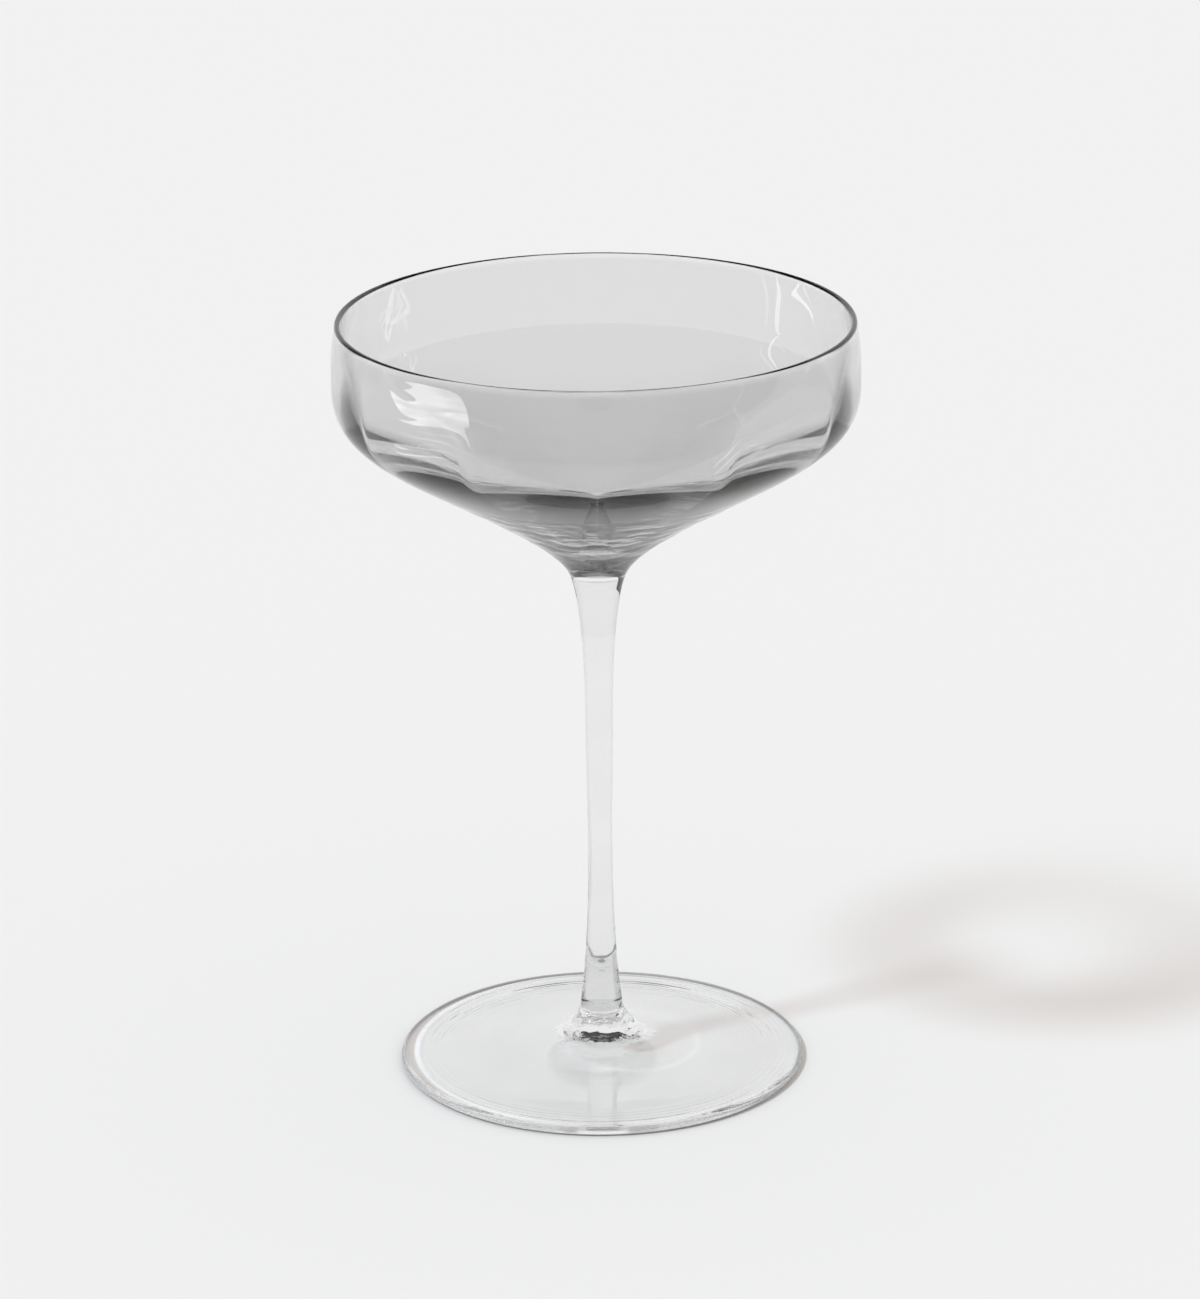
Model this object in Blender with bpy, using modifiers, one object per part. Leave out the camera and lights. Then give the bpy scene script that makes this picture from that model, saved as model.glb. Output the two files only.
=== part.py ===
"""A stemmed coupe glass in metres, standing on the origin with +Z up.

Three gathers of glass make it: a smoke grey bowl blown with panels inside its
wall, a clear stem drawn to a slim waist, and a clear foot spun to a disc. The
joints between them are flat discs across the axis.
"""

import math

import bpy
from mathutils import Vector

# Overall
HEIGHT = 0.160
JOINT_GAP = 0.0003

# Bowl, outside
RIM_RADIUS = 0.05237
RIM_FLARE = 0.117
WIDEST_RADIUS = 0.05328
WIDEST_HEIGHT = 0.14683
FLANK_RADIUS = 0.03382
FLANK_HEIGHT = 0.12667
FLANK_SLOPE = 1.741
UPPER_JOINT_RADIUS = 0.00566
UPPER_JOINT_HEIGHT = 0.106
UPPER_JOINT_SLOPE = 0.39

# Bowl, wall thickness measured square to the wall, in a groove between panels
RIM_WALL = 0.0009
SIDE_WALL = 0.0010
SHOULDER_WALL = 0.0013
FLANK_WALL = 0.0019
BASE_WALL = 0.0026
WELL_HEIGHT = 0.111

# Bowl, panels that swell inwards from the wall
PANELS = 12
PANEL_SWELL = 0.00045
PANEL_RIM_FADE = 0.012

# Stem
NECK_RADIUS = 0.00286
NECK_HEIGHT = 0.0776
WAIST_RADIUS = 0.00251
WAIST_HEIGHT = 0.0482
LOWER_JOINT_RADIUS = 0.0053
LOWER_JOINT_HEIGHT = 0.0115

# Foot
FOOT_RADIUS = 0.0420
FOOT_EDGE = 0.0019
BOSS_RADIUS = 0.0098
BOSS_HEIGHT = 0.0049
RING_OUTER = 0.0406
RING_INNER = 0.0366
UNDERSIDE_RISE = 0.0016

BOWL_STEPS = 72
FOOT_STEPS = 72
STEM_STEPS = 30

GLASS_IOR = 1.5


def curve(start, leaving, arriving, end, count):
    """Points of a smooth curve from start to end, without the first one."""
    points = []
    for step in range(1, count + 1):
        t = step / count
        u = 1 - t
        points.append(
            u**3 * start
            + 3 * u * u * t * (start + leaving)
            + 3 * u * t * t * (end + arriving)
            + t**3 * end
        )
    return points


def heading(slope, length):
    """A handle that runs downwards, with the given fall in radius per height."""
    return Vector((-slope, -1)).normalized() * length


def bowl_outside():
    """The outer outline from the rim down to the joint, as (radius, height)."""
    rim = Vector((RIM_RADIUS, HEIGHT - RIM_WALL / 2))
    widest = Vector((WIDEST_RADIUS, WIDEST_HEIGHT))
    flank = Vector((FLANK_RADIUS, FLANK_HEIGHT))
    joint = Vector((UPPER_JOINT_RADIUS, UPPER_JOINT_HEIGHT + JOINT_GAP / 2))
    points = [rim]
    points += curve(rim, heading(-RIM_FLARE, 0.0035), Vector((0, 0.0069)), widest, 4)
    points += curve(widest, Vector((0, -0.0085)), -heading(FLANK_SLOPE, 0.0177), flank, 8)
    points += curve(flank, heading(FLANK_SLOPE, 0.022), -heading(UPPER_JOINT_SLOPE, 0.0046), joint, 9)
    return points


def wall_at(height):
    """Wall thickness in a groove, by height on the outside."""
    stations = (
        (HEIGHT, RIM_WALL),
        (WIDEST_HEIGHT, SIDE_WALL),
        (0.136, SHOULDER_WALL),
        (FLANK_HEIGHT, FLANK_WALL),
        (UPPER_JOINT_HEIGHT, BASE_WALL),
    )
    for (top, thick_top), (low, thick_low) in zip(stations, stations[1:]):
        if height >= low:
            share = (top - height) / (top - low)
            return thick_top + share * (thick_low - thick_top)
    return BASE_WALL


def bowl_inside(outside):
    """The inner outline from the rim down to the bottom of the well."""
    points = []
    for before, here, after in zip([outside[0]] + outside, outside, outside[1:]):
        along = (after - before).normalized()
        inwards = Vector((along.y, -along.x))
        point = here + inwards * wall_at(here.y)
        if point.y < WELL_HEIGHT + 0.004:
            break
        points.append(point)
    last = points[-1]
    along = (last - points[-2]).normalized()
    bottom = Vector((0, WELL_HEIGHT))
    return points + curve(last, along * last.x * 0.5, Vector((last.x * 0.5, 0)), bottom, 5)


def rim_round(inner, outer):
    """The polished edge, a half circle from the inside over to the outside."""
    centre = (inner + outer) / 2
    across = (outer - inner) / 2
    up = Vector((-across.y, across.x))
    return [
        centre - across * math.cos(angle) + up * math.sin(angle)
        for angle in (math.pi * step / 4 for step in range(1, 4))
    ]


def stem_outline():
    """The stem's side from its upper joint down to its lower one."""
    top = Vector((UPPER_JOINT_RADIUS, UPPER_JOINT_HEIGHT - JOINT_GAP / 2))
    neck = Vector((NECK_RADIUS, NECK_HEIGHT))
    waist = Vector((WAIST_RADIUS, WAIST_HEIGHT))
    bottom = Vector((LOWER_JOINT_RADIUS, LOWER_JOINT_HEIGHT + JOINT_GAP / 2))
    points = [top]
    points += curve(top, heading(UPPER_JOINT_SLOPE, 0.0062), Vector((0, 0.006)), neck, 8)
    points += curve(neck, Vector((0, -0.012)), Vector((0, 0.008)), waist, 4)
    points += curve(waist, Vector((0, -0.022)), Vector((-0.0008, 0.004)), bottom, 8)
    return points


def foot_outline():
    """The foot from its joint, out over the disc, round the edge and in below."""
    joint = Vector((LOWER_JOINT_RADIUS, LOWER_JOINT_HEIGHT - JOINT_GAP / 2))
    boss = Vector((BOSS_RADIUS, BOSS_HEIGHT))
    shoulder = Vector((FOOT_RADIUS - 0.0014, FOOT_EDGE))
    edge = Vector((FOOT_RADIUS, FOOT_EDGE * 0.47))
    ring_outer = Vector((RING_OUTER, 0))
    ring_inner = Vector((RING_INNER, 0))
    middle = Vector((0, UNDERSIDE_RISE))
    points = [joint]
    points += curve(joint, Vector((0.0008, -0.0032)), Vector((-0.0022, 0.0011)), boss, 6)
    points += curve(boss, Vector((0.006, -0.0014)), Vector((-0.012, 0.0005)), shoulder, 5)
    points += curve(shoulder, Vector((0.0009, 0)), Vector((0, 0.0006)), edge, 3)
    points += curve(edge, Vector((0, -0.0006)), Vector((0.0008, 0)), ring_outer, 3)
    points += [ring_inner]
    points += curve(ring_inner, Vector((-0.007, 0.0006)), Vector((0.012, 0)), middle, 5)
    return points


def glass(name, colour):
    material = bpy.data.materials.new(name)
    material.use_nodes = True
    shader = material.node_tree.nodes["Principled BSDF"]
    shader.inputs["Base Color"].default_value = (*colour, 1)
    shader.inputs["Roughness"].default_value = 0.02
    shader.inputs["Metallic"].default_value = 0
    shader.inputs["Transmission Weight"].default_value = 1
    shader.inputs["IOR"].default_value = GLASS_IOR
    return material


def turned(name, outline, steps, material, collection):
    """A solid of revolution about the Z axis from an outline that ends on it."""
    mesh = bpy.data.meshes.new(name)
    count = len(outline)
    mesh.from_pydata(
        [(point.x, 0, point.y) for point in outline],
        [(i, i + 1) for i in range(count - 1)],
        [],
    )
    mesh.materials.append(material)
    piece = bpy.data.objects.new(name, mesh)
    collection.objects.link(piece)
    screw = piece.modifiers.new("turn", "SCREW")
    screw.axis = "Z"
    screw.angle = 2 * math.pi
    screw.steps = steps
    screw.render_steps = steps
    screw.use_merge_vertices = True
    screw.merge_threshold = 0.00001
    screw.use_smooth_shade = True
    return piece


def swell_panels(piece, inside):
    """Moves the inner wall inwards across each panel, and leaves the grooves between."""
    graph = bpy.context.evaluated_depsgraph_get()
    mesh = bpy.data.meshes.new_from_object(piece.evaluated_get(graph))
    piece.modifiers.clear()
    piece.data = mesh
    stations = []
    for before, here, after in zip(inside, inside[1:], inside[2:]):
        along = (after - before).normalized()
        below_rim = min(1, (HEIGHT - here.y) / PANEL_RIM_FADE)
        above_well = min(1, here.x / FLANK_RADIUS)
        rise = PANEL_SWELL * below_rim * above_well
        stations.append((here, Vector((along.y, -along.x)) * rise))
    for vertex in mesh.vertices:
        radius = math.hypot(vertex.co.x, vertex.co.y)
        spot = Vector((radius, vertex.co.z))
        for here, shift in stations:
            if (spot - here).length < 0.000005:
                angle = math.atan2(vertex.co.y, vertex.co.x)
                share = abs(math.sin(PANELS * angle / 2))
                grown = radius + shift.x * share
                vertex.co.x = grown * math.cos(angle)
                vertex.co.y = grown * math.sin(angle)
                vertex.co.z += shift.y * share
                break


def build():
    for leftover in list(bpy.data.objects):
        bpy.data.objects.remove(leftover, do_unlink=True)
    coupe = bpy.data.collections.new("coupe_glass")
    bpy.context.scene.collection.children.link(coupe)
    smoke = glass("smoke_glass", (0.62, 0.62, 0.62))
    clear = glass("clear_glass", (0.96, 0.96, 0.96))

    outside = bowl_outside()
    inside = bowl_inside(outside)
    over_rim = rim_round(inside[0], outside[0])
    base = [Vector((0, outside[-1].y))]
    bowl = turned("bowl", inside[::-1] + over_rim + outside + base, BOWL_STEPS, smoke, coupe)
    swell_panels(bowl, inside)

    side = stem_outline()
    ends = Vector((0, side[0].y)), Vector((0, side[-1].y))
    turned("stem", [ends[0]] + side + [ends[1]], STEM_STEPS, clear, coupe)

    disc = foot_outline()
    turned("foot", [Vector((0, disc[0].y))] + disc, FOOT_STEPS, clear, coupe)


build()
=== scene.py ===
"""A champagne coupe on a pale table: smoke tinted bowl, clear stem and clear foot."""

import math

import bpy
import numpy as np
from mathutils import Matrix, Vector, noise
from mathutils.interpolate import poly_3d_calc


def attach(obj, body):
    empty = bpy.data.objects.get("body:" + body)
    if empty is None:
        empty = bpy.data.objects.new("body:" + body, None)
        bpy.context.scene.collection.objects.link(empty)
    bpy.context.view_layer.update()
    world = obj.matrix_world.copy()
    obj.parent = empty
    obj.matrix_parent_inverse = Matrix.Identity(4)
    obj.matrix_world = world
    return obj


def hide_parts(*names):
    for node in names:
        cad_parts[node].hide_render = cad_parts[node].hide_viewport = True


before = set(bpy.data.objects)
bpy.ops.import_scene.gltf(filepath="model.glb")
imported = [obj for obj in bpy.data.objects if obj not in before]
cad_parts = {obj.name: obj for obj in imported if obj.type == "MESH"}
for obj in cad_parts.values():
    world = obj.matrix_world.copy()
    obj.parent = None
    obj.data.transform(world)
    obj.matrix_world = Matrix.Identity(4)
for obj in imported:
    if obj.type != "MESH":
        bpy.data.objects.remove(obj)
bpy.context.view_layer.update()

# Bowl outline, metres
HEIGHT = 0.15999
RIM_RADIUS = 0.05237
RIM_FLARE = 0.16
WIDEST_RADIUS = 0.05328
WIDEST_HEIGHT = 0.14683
FLANK_RADIUS = 0.03382
FLANK_HEIGHT = 0.12667
FLANK_SLOPE = 1.741
UPPER_JOINT_RADIUS = 0.00566
UPPER_JOINT_HEIGHT = 0.106
UPPER_JOINT_SLOPE = 0.39

# Lengths of the curve handles along the bowl's outline, from the rim down
RIM_HANDLE = 0.005
ABOVE_WIDEST_HANDLE = 0.0069
BELOW_WIDEST_HANDLE = 0.0085
ABOVE_FLANK_HANDLE = 0.0177
BELOW_FLANK_HANDLE = 0.022
NUB_HANDLE = 0.0046

# Bowl wall in a groove between panels, which thickens between two heights
THIN_WALL = 0.0011
THICK_WALL = 0.0041
THIN_ABOVE = 0.1405
THICK_BELOW = 0.1155

# Well in the bowl: its floor, where the wall turns into it, and how round it is as a share of its radius
WELL_HEIGHT = 0.1165
WELL_LIFT = 0.004
WELL_ROUND = 0.5

# Optic panels inside the bowl
PANELS = 12
PANEL_SWELL = 0.00065
PANEL_TOP = 0.1595
PANEL_FULLEST = 0.136
PANEL_FLANK = 0.133
PANEL_BOTTOM = 0.115
PANEL_RISE = 0.6
PANEL_INNER_RADIUS = 0.004
GROOVE_SOFTNESS = 0.05

# Stem outline and the lengths of its curve handles, from the top down
NECK_RADIUS = 0.00286
NECK_HEIGHT = 0.0776
WAIST_RADIUS = 0.00251
WAIST_HEIGHT = 0.0482
LOWER_JOINT_RADIUS = 0.00445
LOWER_JOINT_HEIGHT = 0.0115
STEM_TOP_HANDLE = 0.0062
ABOVE_NECK_HANDLE = 0.006
BELOW_NECK_HANDLE = 0.012
ABOVE_WAIST_HANDLE = 0.008
BELOW_WAIST_HANDLE = 0.022
STEM_FOOT_HANDLE = (-0.0006, 0.0045)

# Foot: its size, and its round edge with the lengths of the curve handles there
FOOT_RADIUS = 0.0420
FOOT_EDGE = 0.0019
RING_OUTER = 0.0406
EDGE_ROUND = 0.0020
EDGE_MIDDLE = 0.47
SHOULDER_HANDLE = 0.62 * EDGE_ROUND
EDGE_HANDLE = 0.0006
RING_HANDLE = 0.0008

# Foot outline as radius and height: the top outwards, whose two ends only steer it, and the hollow inwards
FOOT_TOP = (
    (0.0044, 0.0115), (0.00485, 0.0102), (0.0057, 0.0089), (0.007, 0.0075), (0.0087, 0.00635),
    (0.0112, 0.0054), (0.0155, 0.00435), (0.022, 0.00335), (0.030, 0.0025), (0.040, 0.0019),
)
FOOT_BELOW = (
    (0.0366, 0), (0.028, 0.00085), (0.020, 0.0016), (0.015, 0.0021),
    (0.010, 0.0029), (0.006, 0.0038), (0.003, 0.0043), (0, 0.0045),
)

# Fine rings near the edge of the foot: a wave and a second one, weaker and longer
RIPPLE_HEIGHT = 0.00003
RIPPLE_LENGTH = 0.0012
RIPPLE_FROM = 0.0325
RIPPLE_FADE_IN = 0.004
RIPPLE_FADE_OUT = 0.001
SECOND_RIPPLE = 0.6
SECOND_RIPPLE_PITCH = 0.43
SECOND_RIPPLE_SHIFT = 1

# Unevenness of hand work: lowest and highest place, size of the waves and how far they stand out
WELL_WORK = (0.1065, 0.1295, 0.0045, 0.0001)
STEM_WORK = (LOWER_JOINT_HEIGHT + 0.0004, 0.026, 0.005, 0.00006)
BOSS_WORK = (0.0052, LOWER_JOINT_HEIGHT - 0.0002, 0.0024, 0.00018)
WORK_FADE = 0.002
WORK_SQUASH = 2
FINE_WORK = 0.5
FINE_WORK_PITCH = 2.3

# Fused joints: the space between the two meshes, and how near and how flat a fused face is
SEAM = 0.000002
JOINT_REACH = 0.00002
JOINT_FLATNESS = 0.99

# Fineness: points on a curve, spacing along an outline, steps round the axis
EDGE_CURVE = 20
SHORT_CURVE = 40
MIDDLE_CURVE = 60
LONG_CURVE = 80
ROUNDED_CURVE = 4
RIM_STEPS = 10
BOWL_SPACING = 0.0006
STEM_SPACING = 0.0008
FOOT_SPACING = 0.0004
EDGE_SPACING = 0.00015
BELOW_SPACING = 0.001
BOWL_STEPS = 336
STEM_STEPS = 96
FOOT_STEPS = 240

# Meshing: the plane a drawing starts from, what is welded, what counts as on a line, smooth edges in degrees
FIRST_PLANE = 0.001
WELD = 0.0000005
ON_LINE = 0.000003
SMOOTH_ANGLE = 40

# Glass: how it bends light, and the smoke skin on the bowl, which gathers towards the base
GLASS_IOR = 1.5
SMOKE_PASS = 0.838
SMOKE_GATHER = 0.65
SMOKE_GATHER_FROM = 0.1400
SMOKE_GATHER_DEPTH = 0.0215
SMOKE_ABOVE_JOINT = 0.0015
SMOKE_BELOW_RIM = 0.0005
SMOKE_RIM_FADE = 0.001
SMOKE_SLANT = 3.0
SMOKE_SLANT_FROM = 0.4

# Light lost in the smoke skin on its way along inside the wall, which starts below the rim
SKIN_LOSS = 0.26
LOSS_TOP = 0.150
LOSS_FULL = 0.144

# Clear glass: faint clouds, how clear it is at best, and how dark the painted shade on its flanks is where
# it is seen edge on
CLOUD_SCALE = 70.0
CLOUD_DETAIL = 1.0
CLOUD_RANGE = (0.3, 0.7)
CLOUD_DEPTH = 0.04
PAINTED_FLANK_SHADE_FROM = 0.35
STEM_CLEAREST = 0.94
STEM_FLANK_PAINTED_SHADE = 0.65
FOOT_CLEAREST = 1.0
FOOT_FLANK_PAINTED_SHADE = 1.0

# Share of lamp light that passes glass seen face on and edge on
SMOKE_SHADE = (0.99, 0.94)
CLEAR_SHADE = (0.995, 0.75)
SHADE_BLEND = 0.35

# Lamp light taken by the stem and by the bowl's flank, more on the side that it leans to
STEM_SHADE = 0.3
FLANK_SHADE = 0.3
FLANK_SHADE_FROM = 0.121
FLANK_SHADE_TO = 0.138
FLANK_SHADE_RISE = 0.003
FLANK_SHADE_FALL = 0.005
FLANK_SHADE_LEAN = (-0.25, -0.55)
LEAN_RADIUS = 0.001

# Lamp light gathered by the foot into rings: strength, distance and width
EDGE_RINGS = ((0.8, 0.0018, 0.0004), (0.2, 0.0033, 0.0003), (-0.15, 0.0026, 0.0003))
BOSS_RING = (0.3, 0.0140, 0.0008)
BOSS_RING_CENTRE = (0.0026, 0.0015)
UPPER_SKIN = 0.0009
EDGE_SHADE = 0.75
EDGE_SHADE_WIDTH = 0.0013
EDGE_SHADE_FADE = 0.0003

# Table, which turns dark towards the camera where the glass mirrors it
PALE = 0.88
TABLE_DARK = 0.05
TABLE_FADE = (-0.25, -0.45)
TABLE_SIZE = 12
TABLE_LEVEL = -0.0001

# Sun and surroundings, with the backdrop's edges as sine of height and angle from straight behind
KEY_SHARE = (0.28, 0.34, 0.375)
KEY_FROM = (-0.76, -0.45, 1.0)
KEY_SPREAD = 8
ROOM = 0.05
CEILING = 0.3
CEILING_FROM = 0.8
CEILING_FULL = 0.95
BACKDROP_TOP = 0.6
BACKDROP_TOP_SOFTNESS = 0.01
BACKDROP_LEFT = 0.65
BACKDROP_RIGHT = 1.1
BACKDROP_SIDE_SOFTNESS = 0.03

# Camera fitted to the rim and foot ellipses of a picture of this size, with its angles in degrees
PICTURE_WIDTH = 1200
PICTURE_HEIGHT = 1299
FOCAL_PIXELS = 5385.1
SENSOR = 24
CAMERA_PLACE = (0.0003, -1.041, 0.4485)
CAMERA_DOWN = 19.011
CAMERA_ROLL = -0.503

# How often light may turn inside the glass
MOST_BOUNCES = 96
GLASS_BOUNCES = 64
CLEAR_BOUNCES = 24

# Highlights, as points of the picture, with their widths in its pixels and their strengths
FLAME = (
    (405, 381.5), (420, 384), (440, 388.5), (452, 392), (460, 397), (465, 406), (468, 416), (469, 427),
    (463, 426), (450, 412), (459, 420.5), (465, 432), (470, 447), (466, 440), (461, 435.5), (455, 432),
    (440, 427.5), (425, 426.5), (412, 425), (398, 419), (407, 420.5), (417, 420.7), (411, 418), (405, 415),
    (400, 411), (396, 405), (392, 397), (390.5, 390.5), (394.5, 393.5), (403, 400), (410, 401.5), (416, 400),
    (411, 395), (403, 389.5), (410, 389), (412, 386.5),
)
FRONT_STREAKS = (
    (((398, 431), (410, 436), (430, 440), (445, 443), (452, 446), (462, 452)), 1.5, 3.0),
    (((418, 431.5), (440, 435.5), (452, 437), (458, 440), (462.5, 444.5)), 2.0, 2.2),
    (((395, 443), (405, 445.5), (420, 448.5), (440, 451), (450, 453.5), (462, 459)), 1.5, 3.0),
    (((394, 444), (399, 447), (409, 450)), 2.0, 4.0),
    (((390, 447), (398, 452), (405, 454.5), (420, 456), (440, 458), (450, 460), (458, 464)), 1.5, 4.0),
    (((742, 439), (735, 446), (730, 452), (724, 458), (718, 463), (712, 470)), 1.5, 4.0),
    (((741, 450), (735, 455), (730, 460), (725, 465), (720, 470), (713, 476)), 1.5, 4.0),
)
LEFT_WALL_STREAKS = (
    (((394, 287), (392, 295), (390, 307), (388, 318), (389, 329), (388, 343)), 5.0, 2.0),
    (((402, 287), (400, 292), (398, 302.5), (398.5, 313.5), (397.5, 323), (397, 332)), 3.0, 1.4),
    (((401, 311), (404, 318), (406, 326), (407, 333)), 4.0, 1.2),
)
RIGHT_WALL_STREAKS = (
    (((776, 277), (778, 286), (779, 296), (778, 305), (777, 319), (777, 329), (779, 338)), 4.5, 3.2),
    (((759, 273), (762, 276), (765, 286), (767.5, 302), (766, 321), (766, 329)), 3.0, 1.6),
)

# Light cards for the highlights: the axis each stands across, its place there, and its light
SIDEWAYS = 0
UPWARDS = 2
FLAME_SIDE = -0.35
FLAME_LIGHT = 7.5
FLAME_DIMMEST = 0.55
FRONT_STREAK_LEVEL = 0.012
LEFT_WALL_SIDE = -0.026
RIGHT_WALL_SIDE = 0.024
CARD_CLOUD_SCALE = (7, 7, 45)
CARD_CLOUD_RANGE = (0.35, 0.6)
RIBBON_END = 0.15
RIBBON_TAPER = 3


def curve(start, leaving, arriving, end, count):
    """Points of a smooth curve from start to end, without the first one."""
    points = []
    for step in range(1, count + 1):
        t = step / count
        u = 1 - t
        points.append(
            u**3 * start
            + 3 * u * u * t * (start + leaving)
            + 3 * u * t * t * (end + arriving)
            + t**3 * end
        )
    return points


def heading(slope, length):
    """A handle that runs downwards, with the given fall in radius per height."""
    return Vector((-slope, -1)).normalized() * length


def upright(length):
    """A handle that runs straight up, or down when its length is negative."""
    return Vector((0, length))


def even(points, spacing):
    """The same line with its points set at an even spacing."""
    line = np.array([tuple(p) for p in points])
    runs = np.concatenate([[0], np.cumsum(np.hypot(*np.diff(line, axis=0).T))])
    count = max(2, round(runs[-1] / spacing))
    at = np.linspace(0, runs[-1], count + 1)
    return [Vector((np.interp(s, runs, line[:, 0]), np.interp(s, runs, line[:, 1]))) for s in at]


def rounded(points, closed):
    """More points on a smooth line through the given ones."""
    line = [Vector(p) for p in points]
    ring = [line[-1]] + line + line[:2] if closed else [line[0]] + line + [line[-1]]
    smooth = []
    for a, b, c, d in zip(ring, ring[1:], ring[2:], ring[3:]):
        smooth += [b] + curve(b, (c - a) / 6, (b - d) / 6, c, ROUNDED_CURVE)[:-1]
    return smooth if closed else smooth + [line[-1]]


def held(value):
    """The value kept between 0 and 1."""
    return min(1, max(0, value))


def blend(start, end, values):
    """Shares from 0 at the start to 1 at the end, with soft turns."""
    share = np.clip((values - start) / (end - start), 0, 1)
    return share * share * (3 - 2 * share)


def bowl_outside():
    """The bowl's outer line from the rim down to the joint."""
    rim = Vector((RIM_RADIUS, HEIGHT - THIN_WALL / 2))
    widest = Vector((WIDEST_RADIUS, WIDEST_HEIGHT))
    flank = Vector((FLANK_RADIUS, FLANK_HEIGHT))
    joint = Vector((UPPER_JOINT_RADIUS, UPPER_JOINT_HEIGHT + SEAM / 2))
    to_widest = (heading(-RIM_FLARE, RIM_HANDLE), upright(ABOVE_WIDEST_HANDLE))
    to_flank = (upright(-BELOW_WIDEST_HANDLE), -heading(FLANK_SLOPE, ABOVE_FLANK_HANDLE))
    to_joint = (heading(FLANK_SLOPE, BELOW_FLANK_HANDLE), -heading(UPPER_JOINT_SLOPE, NUB_HANDLE))
    points = [rim]
    points += curve(rim, *to_widest, widest, SHORT_CURVE)
    points += curve(widest, *to_flank, flank, MIDDLE_CURVE)
    points += curve(flank, *to_joint, joint, LONG_CURVE)
    return even(points, BOWL_SPACING)


def wall_at(heights):
    """The wall in a groove, by height on the outside."""
    return THIN_WALL + (THICK_WALL - THIN_WALL) * blend(THIN_ABOVE, THICK_BELOW, heights)


def swell_at(heights):
    """How far the middle of a panel swells: most at the flank, and nothing at the rim and in the well."""
    below_rim = np.clip((PANEL_TOP - heights) / (PANEL_TOP - PANEL_FULLEST), 0, 1)
    return PANEL_SWELL * below_rim**PANEL_RISE * blend(PANEL_BOTTOM, PANEL_FLANK, heights)


def bowl_inside(outside):
    """The bowl's inner line in a groove, from the rim down to the bottom of the well."""
    points = []
    walls = wall_at(np.array([p.y for p in outside]))
    for before, here, after, wall in zip([outside[0]] + outside, outside, outside[1:], walls):
        along = (after - before).normalized()
        point = here + Vector((along.y, -along.x)) * wall
        if point.y < WELL_HEIGHT + WELL_LIFT:
            break
        points.append(point)
    last = points[-1]
    along = (last - points[-3]).normalized()
    bottom = Vector((0, WELL_HEIGHT))
    reach = last.x * WELL_ROUND
    dish = curve(last, along * reach, Vector((reach, 0)), bottom, SHORT_CURVE)
    return even(points + dish, BOWL_SPACING)


def rim_round(inner, outer):
    """The polished edge, a half circle from the inside over to the outside."""
    centre = (inner + outer) / 2
    across = (outer - inner) / 2
    up = Vector((-across.y, across.x))
    return [
        centre - across * math.cos(angle) + up * math.sin(angle)
        for angle in (math.pi * step / RIM_STEPS for step in range(1, RIM_STEPS))
    ]


def stem_outline():
    """The stem's side from its upper joint down to its lower one."""
    top = Vector((UPPER_JOINT_RADIUS, UPPER_JOINT_HEIGHT - SEAM / 2))
    neck = Vector((NECK_RADIUS, NECK_HEIGHT))
    waist = Vector((WAIST_RADIUS, WAIST_HEIGHT))
    bottom = Vector((LOWER_JOINT_RADIUS, LOWER_JOINT_HEIGHT + SEAM / 2))
    to_neck = (heading(UPPER_JOINT_SLOPE, STEM_TOP_HANDLE), upright(ABOVE_NECK_HANDLE))
    to_waist = (upright(-BELOW_NECK_HANDLE), upright(ABOVE_WAIST_HANDLE))
    to_bottom = (upright(-BELOW_WAIST_HANDLE), Vector(STEM_FOOT_HANDLE))
    points = [top]
    points += curve(top, *to_neck, neck, MIDDLE_CURVE)
    points += curve(neck, *to_waist, waist, SHORT_CURVE)
    points += curve(waist, *to_bottom, bottom, MIDDLE_CURVE)
    return even(points, STEM_SPACING)


def foot_top(shoulder):
    """The top of the foot, from the joint out to the shoulder of its edge, with the fine rings."""
    joint = Vector((LOWER_JOINT_RADIUS, LOWER_JOINT_HEIGHT - SEAM / 2))
    top = even([joint] + rounded(FOOT_TOP, False)[1:-1] + [shoulder], EDGE_SPACING)
    split = next(i for i, point in enumerate(top) if point.x > RIPPLE_FROM)
    top = even(top[: split + 1], FOOT_SPACING) + top[split + 1 :]
    for point in top:
        share = held((point.x - RIPPLE_FROM) / RIPPLE_FADE_IN)
        share *= held((shoulder.x - point.x) / RIPPLE_FADE_OUT)
        turn = 2 * math.pi * (point.x - RIPPLE_FROM) / RIPPLE_LENGTH
        second = SECOND_RIPPLE * math.sin(turn * SECOND_RIPPLE_PITCH + SECOND_RIPPLE_SHIFT)
        point.y += RIPPLE_HEIGHT * share * (math.sin(turn) + second)
    return top


def foot_outline():
    """The foot from its joint, out over the disc, round the edge and in below."""
    shoulder = Vector((FOOT_RADIUS - EDGE_ROUND, FOOT_EDGE))
    edge = Vector((FOOT_RADIUS, FOOT_EDGE * EDGE_MIDDLE))
    ring_outer = Vector((RING_OUTER, 0))
    top = foot_top(shoulder)
    bead = [top[-1]]
    bead += curve(shoulder, Vector((SHOULDER_HANDLE, 0)), upright(EDGE_HANDLE), edge, EDGE_CURVE)
    bead += curve(edge, upright(-EDGE_HANDLE), Vector((RING_HANDLE, 0)), ring_outer, EDGE_CURVE)
    return top + even(bead, EDGE_SPACING)[1:] + even(rounded(FOOT_BELOW, False), BELOW_SPACING)


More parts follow.
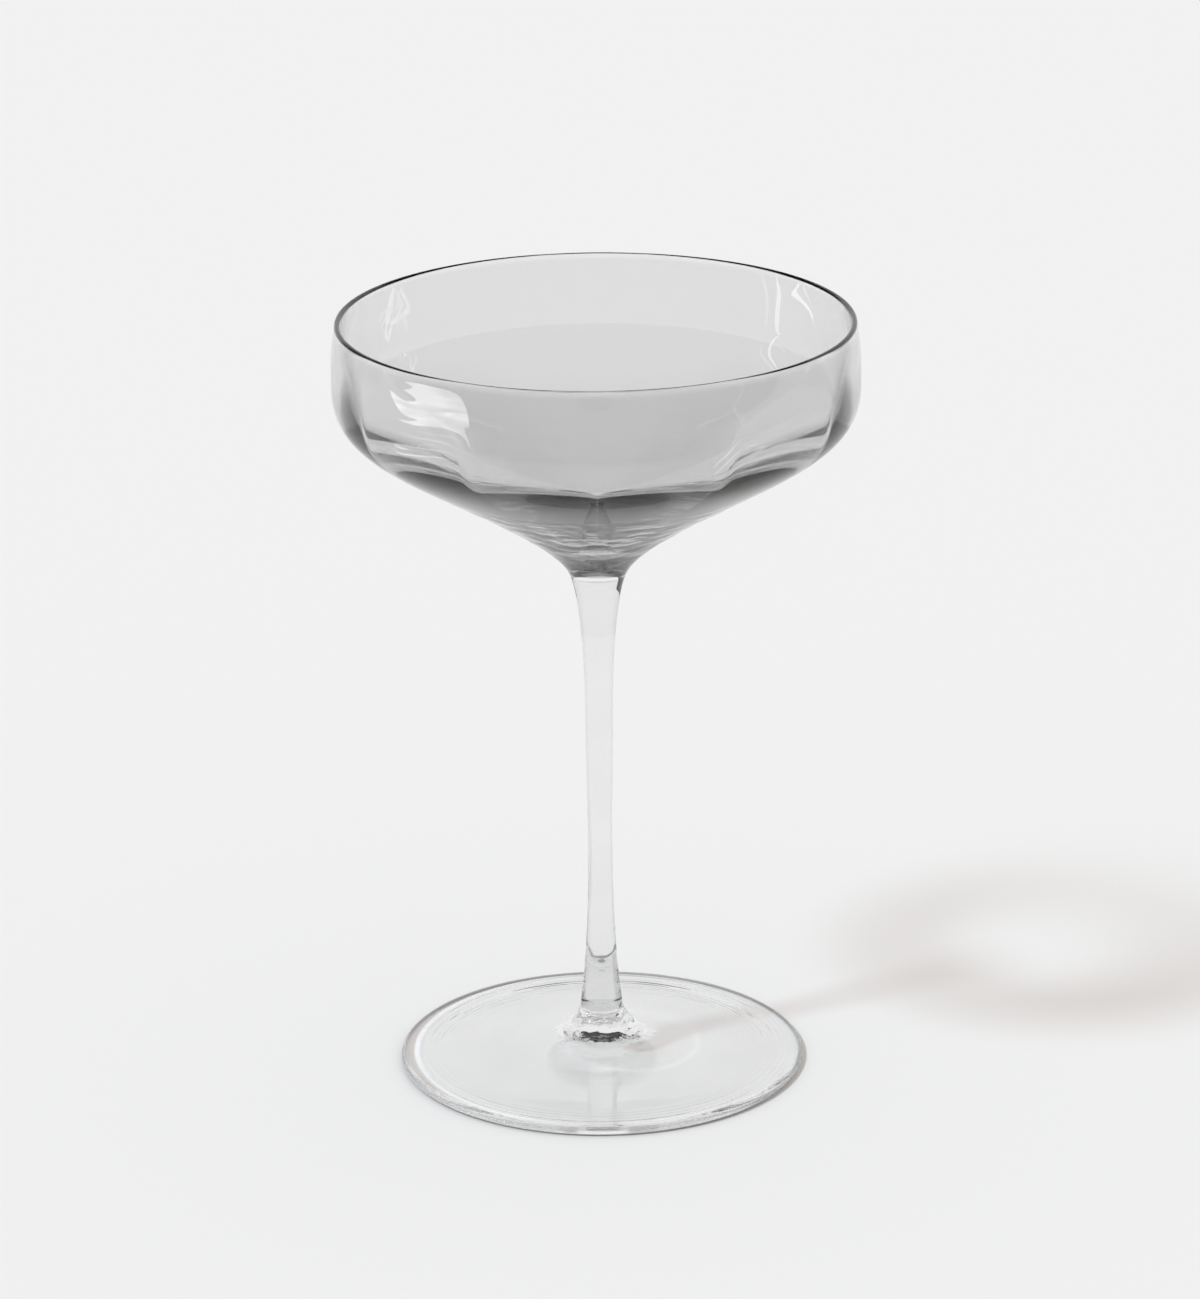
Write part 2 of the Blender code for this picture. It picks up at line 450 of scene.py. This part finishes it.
def trace(name, outline):
    """Draws the outline in edit mode, point by point, and leaves it open for the next step."""
    bpy.ops.object.select_all(action="DESELECT")
    bpy.ops.mesh.primitive_plane_add(size=FIRST_PLANE, location=(0, 0, 0))
    piece = bpy.context.object
    piece.name = name
    piece.data.name = name
    bpy.ops.object.mode_set(mode="EDIT")
    bpy.ops.mesh.select_all(action="SELECT")
    bpy.ops.mesh.merge(type="CENTER")
    bpy.ops.transform.translate(value=(outline[0].x, 0, outline[0].y))
    for here, after in zip(outline, outline[1:]):
        step = (after.x - here.x, 0, after.y - here.y)
        bpy.ops.mesh.extrude_vertices_move(TRANSFORM_OT_translate={"value": step})
    return piece


def spin(steps):
    """Turns the traced outline about the glass's axis and closes the seam and the poles."""
    bpy.ops.mesh.select_all(action="SELECT")
    bpy.ops.mesh.spin(steps=steps, angle=2 * math.pi, center=(0, 0, 0), axis=(0, 0, 1))
    bpy.ops.mesh.select_all(action="SELECT")
    bpy.ops.mesh.remove_doubles(threshold=WELD)
    bpy.ops.mesh.normals_make_consistent(inside=False)
    bpy.ops.object.mode_set(mode="OBJECT")


def positions(piece):
    """The places of all points of a piece, one row each."""
    places = np.empty(len(piece.data.vertices) * 3, np.float32)
    piece.data.vertices.foreach_get("co", places)
    return places.reshape(-1, 3).astype(np.float64)


def move_points(piece, places):
    """Sets all points of a piece to new places."""
    piece.data.vertices.foreach_set("co", places.astype(np.float32).ravel())
    piece.data.update()


def radii(places):
    """How far points are from the glass's axis."""
    return np.hypot(places[:, 0], places[:, 1])


def distances(places, line):
    """How far every point is from every point of an outline, as radius and height."""
    return np.hypot(radii(places)[:, None] - line[None, :, 0], places[:, 2][:, None] - line[None, :, 1])


def mark_points(piece, name, values):
    """Stores one value for every point of a piece."""
    mark = piece.data.attributes.new(name, "FLOAT", "POINT")
    mark.data.foreach_set("value", values.astype(np.float32))


def swell_panels(bowl, inside):
    """Swells the inner wall across each panel and leaves a groove between panels."""
    line = np.array([tuple(p) for p in inside])
    along = np.gradient(line, axis=0)
    along /= np.hypot(*along.T)[:, None]
    inwards = np.stack([along[:, 1], -along[:, 0]], axis=1)
    rise = swell_at(line[:, 1]) * np.clip(line[:, 0] / PANEL_INNER_RADIUS, 0, 1)
    places = positions(bowl)
    angle = np.arctan2(places[:, 1], places[:, 0])
    away = distances(places, line)
    nearest = away.argmin(axis=1)
    wall = away[np.arange(len(places)), nearest] < ON_LINE
    wave = np.sqrt(np.sin(PANELS * angle / 2) ** 2 + GROOVE_SOFTNESS**2) - GROOVE_SOFTNESS
    share = wave * wall
    grown = radii(places) + inwards[nearest, 0] * rise[nearest] * share
    places[:, 0] = np.where(wall, grown * np.cos(angle), places[:, 0])
    places[:, 1] = np.where(wall, grown * np.sin(angle), places[:, 1])
    places[:, 2] += inwards[nearest, 1] * rise[nearest] * share
    move_points(bowl, places)


def work_by_hand(piece, low, high, size, amount):
    """Leaves the faint unevenness of hand work between two heights, fading out towards both."""
    normals = [vertex.normal.copy() for vertex in piece.data.vertices]
    places = positions(piece)
    for i, normal in enumerate(normals):
        place = Vector(places[i])
        share = held((place.z - low) / WORK_FADE) * held((high - place.z) / WORK_FADE)
        share *= held(math.hypot(place.x, place.y) / WORK_FADE)
        if share > 0:
            flow = Vector((place.x / size, place.y / size, WORK_SQUASH * place.z / size))
            lean = noise.noise(flow) + FINE_WORK * noise.noise(flow * FINE_WORK_PITCH)
            places[i] += np.array(normal) * (lean * share * amount)
    move_points(piece, places)


def mark_bend(piece, *joints):
    """Marks how much each face bends light: not at all where it is fused to the next gather."""
    mark = piece.data.attributes.new("bend", "FLOAT", "FACE")
    for face, value in zip(piece.data.polygons, mark.data):
        flat = abs(face.normal.z) > JOINT_FLATNESS
        fused = flat and any(abs(face.center.z - height) < JOINT_REACH for height in joints)
        value.value = 1.0 if fused else GLASS_IOR


def mark_smoke(bowl, outside):
    """Marks the outer skin of the bowl, which carries the smoke tint."""
    places = positions(bowl)
    height = places[:, 2]
    skin = distances(places, np.array([tuple(p) for p in outside])).min(axis=1) < ON_LINE
    skin &= height > UPPER_JOINT_HEIGHT + SMOKE_ABOVE_JOINT
    depth = 1 + SMOKE_GATHER * np.clip((SMOKE_GATHER_FROM - height) / SMOKE_GATHER_DEPTH, 0, 1)
    depth *= np.clip((HEIGHT - height - SMOKE_BELOW_RIM) / SMOKE_RIM_FADE, 0, 1)
    mark_points(bowl, "smoke", skin * depth)


def mark_bowl_shade(bowl):
    """The thick flank takes more of the lamp light than the thin wall and the nub do."""
    places = positions(bowl)
    height = places[:, 2]
    thick = np.clip((height - FLANK_SHADE_FROM) / FLANK_SHADE_RISE, 0, 1)
    thick *= np.clip((FLANK_SHADE_TO - height) / FLANK_SHADE_FALL, 0, 1)
    lean = 1 + places[:, :2] @ np.array(FLANK_SHADE_LEAN) / np.maximum(radii(places), LEAN_RADIUS)
    mark_points(bowl, "gather", -FLANK_SHADE * thick * lean)


def mark_stem_shade(stem):
    """A rod of glass spreads the lamp light that falls on it, so it leaves a faint streak on the table."""
    mark_points(stem, "gather", np.full(len(stem.data.vertices), -STEM_SHADE))


def ring(distance, strength, middle, width):
    """A soft ring of light or shade, by distance."""
    return strength * np.exp(-(((distance - middle) / width) ** 2))


def mark_gathering(foot):
    """Marks how the foot spreads lamp light on the table: less under its edge, more beside it."""
    places = positions(foot)
    radius = radii(places)
    inwards = FOOT_RADIUS - radius
    bright = ring(radii(places[:, :2] - np.array(BOSS_RING_CENTRE)), *BOSS_RING)
    for edge_ring in EDGE_RINGS:
        bright += ring(inwards, *edge_ring)
    out, up = np.array(FOOT_BELOW[::-1]).T
    upper = places[:, 2] > np.interp(radius, out, up) + UPPER_SKIN
    edge = np.clip((EDGE_SHADE_WIDTH - inwards) / EDGE_SHADE_FADE, 0, 1)
    mark_points(foot, "gather", bright * upper - EDGE_SHADE * edge)


def finish_piece(piece, material):
    """Smooths a piece's shading, except at sharp edges, and gives it its material."""
    bpy.ops.object.select_all(action="DESELECT")
    piece.select_set(True)
    bpy.context.view_layer.objects.active = piece
    bpy.ops.object.shade_smooth_by_angle(angle=math.radians(SMOOTH_ANGLE))
    piece.data.materials.clear()
    piece.data.materials.append(material)


def add(tree, kind, inputs=None, **settings):
    """A new node, with its settings and with a value or a link for each named input."""
    node = tree.nodes.new(kind)
    for name, value in settings.items():
        setattr(node, name, value)
    for name, value in (inputs or {}).items():
        if isinstance(value, bpy.types.NodeSocket):
            tree.links.new(value, node.inputs[name])
        else:
            node.inputs[name].default_value = value
    return node


def attribute(tree, name):
    """A value stored on the mesh."""
    return add(tree, "ShaderNodeAttribute", attribute_name=name).outputs["Fac"]


def ray(tree, kind):
    """One for one kind of ray, such as a shadow ray, and zero for the others."""
    return add(tree, "ShaderNodeLightPath").outputs[kind]


def place_in(tree, space):
    """The shaded point in the given space."""
    return add(tree, "ShaderNodeTexCoord").outputs[space]


def axes(tree, space):
    """The X, Y and Z of the shaded point in the given space."""
    return add(tree, "ShaderNodeSeparateXYZ", {"Vector": place_in(tree, space)}).outputs


def ramp(tree, value, start, end, low=0.0, high=1.0, **settings):
    """A value that runs from low to high while another one runs from start to end."""
    inputs = {"Value": value, "From Min": start, "From Max": end, "To Min": low, "To Max": high}
    return add(tree, "ShaderNodeMapRange", inputs, **settings).outputs["Result"]


def combine(tree, operation, *values):
    """One sum, product or other operation on values."""
    return add(tree, "ShaderNodeMath", dict(enumerate(values)), operation=operation).outputs[0]


def mix_colours(tree, share, first, second):
    """The first colour, turning into the second as the share grows."""
    inputs = {"Factor": share, "A": first, "B": second}
    return add(tree, "ShaderNodeMix", inputs, data_type="RGBA").outputs["Result"]


def mix_shaders(tree, share, first, second):
    """The first shader, turning into the second as the share grows."""
    return add(tree, "ShaderNodeMixShader", {0: share, 1: first, 2: second}).outputs[0]


def grey(level):
    """A plain grey."""
    return (level, level, level, 1)


def new_material(name):
    """A new material, its node tree and its main shader."""
    material = bpy.data.materials.new(name)
    material.use_nodes = True
    tree = material.node_tree
    return material, tree, tree.nodes["Principled BSDF"]


def show(tree, surface):
    """Makes a shader the surface of its material."""
    tree.links.new(surface, tree.nodes["Material Output"].inputs["Surface"])


def polished_glass(name):
    """Polished glass that bends light as much as its faces are marked to."""
    material, tree, shader = new_material(name)
    shader.inputs["Base Color"].default_value = grey(1)
    shader.inputs["Roughness"].default_value = 0.0
    shader.inputs["Transmission Weight"].default_value = 1.0
    tree.links.new(attribute(tree, "bend"), shader.inputs["IOR"])
    return material, tree, shader


def slant(tree, start, end):
    """One where the glass is seen face on, and the given end where it is seen edge on."""
    facing = add(tree, "ShaderNodeLayerWeight").outputs["Facing"]
    return ramp(tree, facing, start, 1.0, 1.0, end)


def smoke_tint(tree):
    """The colour of the smoke skin, deeper where it is thicker and where light crosses it at a slant."""
    depth = combine(tree, "POWER", attribute(tree, "smoke"), slant(tree, SMOKE_SLANT_FROM, SMOKE_SLANT))
    return combine(tree, "POWER", SMOKE_PASS**2, depth)


def clear_tint(tree, clearest, flank_painted_shade):
    """The colour of clear glass, faintly clouded, with painted shade that darkens it where it is seen edge
    on.
    """
    inputs = {"Vector": place_in(tree, "Object"), "Scale": CLOUD_SCALE, "Detail": CLOUD_DETAIL}
    cloud = add(tree, "ShaderNodeTexNoise", inputs).outputs["Fac"]
    tone = ramp(tree, cloud, *CLOUD_RANGE, clearest - CLOUD_DEPTH, clearest)
    # painted shade: the colour darkens towards the flanks, where the glass is seen edge on
    return combine(tree, "MULTIPLY", tone, slant(tree, PAINTED_FLANK_SHADE_FROM, flank_painted_shade))


def skin_loss(tree, surface):
    """The bowl for light that runs along inside the wall and meets the smoke skin again and again."""
    below_rim = ramp(tree, axes(tree, "Object")["Z"], LOSS_TOP, LOSS_FULL, 0.0, SKIN_LOSS)
    lost = combine(tree, "MULTIPLY", attribute(tree, "smoke"), below_rim)
    dark = add(tree, "ShaderNodeEmission", {"Strength": 0.0}).outputs[0]
    return mix_shaders(tree, lost, surface, dark)


def pass_lamp_light(tree, surface, shade):
    """Lets lamp light straight through, dimmed at the edges and by what the piece gathers or takes."""
    edge = add(tree, "ShaderNodeLayerWeight", {"Blend": SHADE_BLEND}).outputs["Facing"]
    dim = ramp(tree, edge, 0.0, 1.0, *shade)
    share = combine(tree, "MULTIPLY_ADD", attribute(tree, "gather"), dim, dim)
    through = add(tree, "ShaderNodeBsdfTransparent", {"Color": share}).outputs[0]
    for kind in ("Is Diffuse Ray", "Is Shadow Ray"):
        surface = mix_shaders(tree, ray(tree, kind), surface, through)
    return surface


def smoke_glass(name):
    """Clear glass with a smoke tinted outer skin."""
    material, tree, shader = polished_glass(name)
    tree.links.new(smoke_tint(tree), shader.inputs["Base Color"])
    surface = shader.outputs[0]
    surface = mix_shaders(tree, ray(tree, "Is Reflection Ray"), surface, skin_loss(tree, surface))
    show(tree, pass_lamp_light(tree, surface, SMOKE_SHADE))
    return material


def clear_glass(name, clearest, flank_painted_shade):
    """Clear glass, with its clearest tone and the tone of the painted shade on its flanks."""
    material, tree, shader = polished_glass(name)
    tree.links.new(clear_tint(tree, clearest, flank_painted_shade), shader.inputs["Base Color"])
    show(tree, pass_lamp_light(tree, shader.outputs[0], CLEAR_SHADE))
    return material


def on_axis(point):
    """The point on the glass's axis at the same height."""
    return Vector((0, point.y))


def build_bowl():
    """The bowl: a turned shell with panels swelled into its inner wall."""
    outside = bowl_outside()
    inside = bowl_inside(outside)
    over_rim = rim_round(inside[0], outside[0])[::-1]
    piece = trace("coupe_bowl", [on_axis(outside[-1])] + outside[::-1] + over_rim + inside)
    spin(BOWL_STEPS)
    mark_smoke(piece, outside)
    swell_panels(piece, inside)
    work_by_hand(piece, *WELL_WORK)
    mark_bend(piece, UPPER_JOINT_HEIGHT)
    mark_bowl_shade(piece)
    finish_piece(piece, smoke_glass("smoke_bowl_glass"))
    return piece


def build_stem():
    """The stem: a turned rod between the two joints."""
    side = stem_outline()
    piece = trace("coupe_stem", [on_axis(side[0])] + side + [on_axis(side[-1])])
    spin(STEM_STEPS)
    work_by_hand(piece, *STEM_WORK)
    mark_bend(piece, UPPER_JOINT_HEIGHT, LOWER_JOINT_HEIGHT)
    mark_stem_shade(piece)
    finish_piece(piece, clear_glass("clear_stem_glass", STEM_CLEAREST, STEM_FLANK_PAINTED_SHADE))
    return piece


def build_foot():
    """The foot: a turned disc with a boss, fine rings and a hollow below."""
    disc = foot_outline()
    piece = trace("coupe_foot", [on_axis(disc[0])] + disc)
    spin(FOOT_STEPS)
    work_by_hand(piece, *BOSS_WORK)
    mark_bend(piece, LOWER_JOINT_HEIGHT)
    mark_gathering(piece)
    finish_piece(piece, clear_glass("clear_foot_glass", FOOT_CLEAREST, FOOT_FLANK_PAINTED_SHADE))
    return piece


def place_camera():
    """The camera of the picture."""
    data = bpy.data.cameras.new("camera")
    data.sensor_fit = "VERTICAL"
    data.sensor_height = SENSOR
    data.lens = FOCAL_PIXELS / PICTURE_HEIGHT * SENSOR
    camera = bpy.data.objects.new("camera", data)
    bpy.context.scene.collection.objects.link(camera)
    tilt = Matrix.Rotation(math.radians(90 - CAMERA_DOWN), 4, "X")
    roll = Matrix.Rotation(math.radians(CAMERA_ROLL), 4, "Z")
    camera.matrix_world = Matrix.Translation(CAMERA_PLACE) @ tilt @ roll
    bpy.context.scene.camera = camera
    return camera


def floor():
    """A pale table, which the glass mirrors as dark towards the camera."""
    bpy.ops.object.select_all(action="DESELECT")
    bpy.ops.mesh.primitive_plane_add(size=TABLE_SIZE, location=(0, 0, TABLE_LEVEL))
    table = bpy.context.object
    table.name = "table"
    material, tree, shader = new_material("pale_table")
    near = ramp(tree, axes(tree, "Object")["Y"], *TABLE_FADE, interpolation_type="SMOOTHSTEP")
    dark = combine(tree, "MULTIPLY", near, ray(tree, "Is Reflection Ray"))
    tree.links.new(mix_colours(tree, dark, grey(PALE), grey(TABLE_DARK)), shader.inputs["Base Color"])
    shader.inputs["Roughness"].default_value = 1.0
    shader.inputs["Specular IOR Level"].default_value = 0.0
    table.data.materials.append(material)


def sun():
    """A soft sun from the left front, for the shadow."""
    data = bpy.data.lights.new("key", "SUN")
    data.color = KEY_SHARE
    data.angle = math.radians(KEY_SPREAD)
    key = bpy.data.objects.new("key", data)
    bpy.context.scene.collection.objects.link(key)
    towards = Vector(KEY_FROM).normalized()
    data.energy = math.pi / towards.z
    key.rotation_euler = towards.to_track_quat("Z", "Y").to_euler()
    key.visible_glossy = False
    key.visible_transmission = False


def surroundings():
    """For the glass a dim room with a pale backdrop and a ceiling, for the table the rest of its light."""
    world = bpy.data.worlds.new("studio")
    bpy.context.scene.world = world
    world.use_nodes = True
    tree = world.node_tree
    towards = axes(tree, "Generated")
    side = combine(tree, "ARCTAN2", towards["X"], towards["Y"])
    soft_top = BACKDROP_TOP_SOFTNESS
    soft_side = BACKDROP_SIDE_SOFTNESS
    low = ramp(tree, towards["Z"], BACKDROP_TOP + soft_top, BACKDROP_TOP - soft_top)
    from_left = ramp(tree, side, -BACKDROP_LEFT - soft_side, -BACKDROP_LEFT + soft_side)
    to_right = ramp(tree, side, BACKDROP_RIGHT + soft_side, BACKDROP_RIGHT - soft_side)
    backdrop = combine(tree, "MULTIPLY", low, combine(tree, "MULTIPLY", from_left, to_right))
    band = ramp(tree, backdrop, 0.0, 1.0, ROOM, PALE)
    above = ramp(tree, towards["Z"], CEILING_FROM, CEILING_FULL, 0.0, CEILING)
    room = combine(tree, "MAXIMUM", band, above)
    fill = (*(1 - share for share in KEY_SHARE), 1)
    light = mix_colours(tree, ray(tree, "Is Diffuse Ray"), room, fill)
    light = mix_colours(tree, ray(tree, "Is Camera Ray"), light, grey(PALE))
    tree.links.new(light, tree.nodes["Background"].inputs["Color"])


def ribbon(points, width):
    """The outline of a curved strip that narrows to both ends."""
    line = rounded(points, False)
    final = len(line) - 1
    left, right = [], []
    for i, here in enumerate(line):
        along = (line[min(i + 1, final)] - line[max(i - 1, 0)]).normalized()
        half = width / 2 * min(1, RIBBON_END + RIBBON_TAPER * min(i, final - i) / len(line))
        left.append(here + Vector((-along.y, along.x)) * half)
        right.append(here - Vector((-along.y, along.x)) * half)
    return left + right[::-1]


def mirrored(point, axis, place):
    """Where the sight line through a picture point, mirrored by the bowl, meets an upright or flat plane."""
    x = (point[0] - PICTURE_WIDTH / 2) / FOCAL_PIXELS
    y = (PICTURE_HEIGHT / 2 - point[1]) / FOCAL_PIXELS
    aim = (camera.matrix_world.to_3x3() @ Vector((x, y, -1))).normalized()
    _, spot, _, face = bowl.ray_cast(camera.matrix_world.translation, aim)
    corners = [bowl.data.vertices[i] for i in bowl.data.polygons[face].vertices]
    shares = poly_3d_calc([corner.co for corner in corners], spot)
    normal = sum((corner.normal * share for corner, share in zip(corners, shares)), Vector())
    away = aim.reflect(normal.normalized())
    return spot + away * ((place - spot[axis]) / away[axis])


def card_light(name, strength, dimmest):
    """White light, a little uneven where its dimmest share is below one."""
    material, tree, _ = new_material(name)
    inputs = {"Vector": place_in(tree, "Object"), "Scale": CARD_CLOUD_SCALE}
    stretched = add(tree, "ShaderNodeMapping", inputs).outputs["Vector"]
    inputs = {"Vector": stretched, "Scale": 1.0, "Detail": CLOUD_DETAIL}
    cloud = add(tree, "ShaderNodeTexNoise", inputs).outputs["Fac"]
    level = ramp(tree, cloud, *CARD_CLOUD_RANGE, strength * dimmest, strength)
    show(tree, add(tree, "ShaderNodeEmission", {"Strength": level}).outputs[0])
    return material


def light_card(name, highlight, axis, place, strength, dimmest=1.0):
    """A white card, seen only as a reflection, cut so that the glass shows it as a highlight."""
    spots = [mirrored(point, axis, place) for point in highlight]
    if axis == SIDEWAYS:
        card = trace(name, [Vector((spot.y, spot.z)) for spot in spots])
        stand = Matrix.Translation((place, 0, 0)) @ Matrix.Rotation(math.radians(90), 4, "Z")
    else:
        card = trace(name, [Vector((spot.x, spot.y)) for spot in spots])
        stand = Matrix.Translation((0, 0, place)) @ Matrix.Rotation(math.radians(-90), 4, "X")
    bpy.ops.mesh.select_all(action="SELECT")
    bpy.ops.mesh.edge_face_add()
    bpy.ops.object.mode_set(mode="OBJECT")
    card.data.transform(stand)
    card.data.materials.append(card_light(name, strength, dimmest))
    card.visible_camera = False
    card.visible_diffuse = False
    card.visible_shadow = False
    card.visible_transmission = False


def cards():
    """Cards left of the glass, just above the table and inside the bowl, cut for the highlights."""
    light_card("flame_card", rounded(FLAME, True), SIDEWAYS, FLAME_SIDE, FLAME_LIGHT, FLAME_DIMMEST)
    for name, streaks, axis, place in (
        ("front_card", FRONT_STREAKS, UPWARDS, FRONT_STREAK_LEVEL),
        ("left_wall_card", LEFT_WALL_STREAKS, SIDEWAYS, LEFT_WALL_SIDE),
        ("right_wall_card", RIGHT_WALL_STREAKS, SIDEWAYS, RIGHT_WALL_SIDE),
    ):
        for number, (line, width, strength) in enumerate(streaks):
            light_card(f"{name}_{number}", ribbon(line, width), axis, place, strength)


bowl = build_bowl()
stem = build_stem()
foot = build_foot()

for piece, node, slot in (
    (bowl, "bowl", "smoke_glass"),
    (stem, "stem", "clear_glass_stem"),
    (foot, "foot", "clear_glass_foot"),
):
    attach(piece, "root")
    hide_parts(node)

camera = place_camera()
floor()
sun()
surroundings()
cards()

scene = bpy.context.scene
scene.view_settings.view_transform = "Standard"
scene.cycles.max_bounces = MOST_BOUNCES
scene.cycles.transmission_bounces = GLASS_BOUNCES
scene.cycles.glossy_bounces = GLASS_BOUNCES
scene.cycles.transparent_max_bounces = CLEAR_BOUNCES
